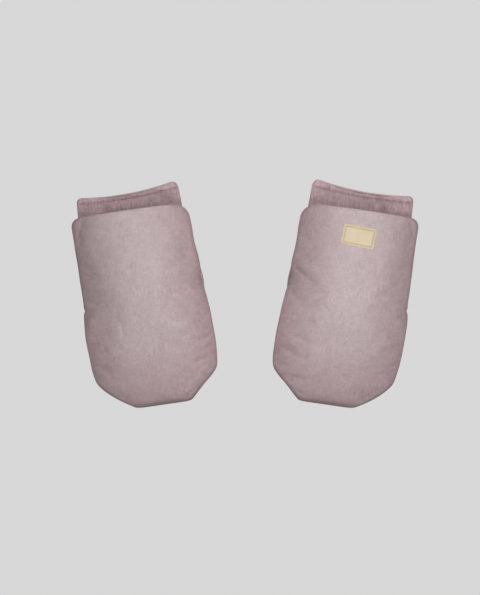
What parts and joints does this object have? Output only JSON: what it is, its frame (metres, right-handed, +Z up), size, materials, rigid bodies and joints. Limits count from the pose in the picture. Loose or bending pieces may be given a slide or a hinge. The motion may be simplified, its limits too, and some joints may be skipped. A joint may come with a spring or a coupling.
{
  "type": "stroller hand muff",
  "caption": "Padded, plush-lined hand muffs that close round a pushchair's handlebar with press studs and keep the hands warm.",
  "frame": {"origin": "on the axis of the handlebar, midway between the muffs", "axes": "+X along the handlebar, from the left muff to the right one, +Z up, the front panels face -Y"},
  "size_m": [0.397, 0.0886, 0.2615],
  "materials": {
    "shell_cloth": "matte dusty mauve faux nubuck with a faint fine weave",
    "plush_lining": "short mauve plush pile",
    "wadding": "white polyester wadding",
    "stud_metal": "satin nickel",
    "label": "cream faux leather, bare, with a stitched border"
  },
  "bodies": {
    "left_back": {"left_back_shell": "shell_cloth", "left_back_wadding": "wadding", "left_back_lining": "plush_lining", "left_bottom_gusset": "shell_cloth", "left_stud_ball_inner_lower": "stud_metal", "left_stud_ball_inner_upper": "stud_metal", "left_stud_ball_outer_lower": "stud_metal", "left_stud_ball_outer_upper": "stud_metal"},
    "left_front": {"left_front_shell": "shell_cloth", "left_front_wadding": "wadding", "left_front_lining": "plush_lining", "left_stud_socket_inner_lower": "stud_metal", "left_stud_socket_inner_upper": "stud_metal", "left_stud_socket_outer_lower": "stud_metal", "left_stud_socket_outer_upper": "stud_metal"},
    "right_back": {"right_back_shell": "shell_cloth", "right_back_wadding": "wadding", "right_back_lining": "plush_lining", "right_bottom_gusset": "shell_cloth", "right_stud_ball_inner_lower": "stud_metal", "right_stud_ball_inner_upper": "stud_metal", "right_stud_ball_outer_lower": "stud_metal", "right_stud_ball_outer_upper": "stud_metal"},
    "right_front": {"right_front_shell": "shell_cloth", "right_front_wadding": "wadding", "right_front_lining": "plush_lining", "right_label_patch": "label", "right_stud_socket_inner_lower": "stud_metal", "right_stud_socket_inner_upper": "stud_metal", "right_stud_socket_outer_lower": "stud_metal", "right_stud_socket_outer_upper": "stud_metal"}
  },
  "joints": [
    {"name": "left_front_open", "type": "hinge", "parent": "left_back", "child": "left_front", "pos_m": [-0.0992, -0.0068, -0.0988], "axis": [0.9896, 0, 0.1437], "range_deg": [0, 100]},
    {"name": "right_muff_slide", "type": "slide", "parent": "left_back", "child": "right_back", "axis": [1, 0, 0], "range_m": [-0.03, 0.03]},
    {"name": "right_front_open", "type": "hinge", "parent": "right_back", "child": "right_front", "pos_m": [0.0992, -0.0068, -0.0988], "axis": [0.9896, 0, -0.1437], "range_deg": [0, 100]}
  ]
}
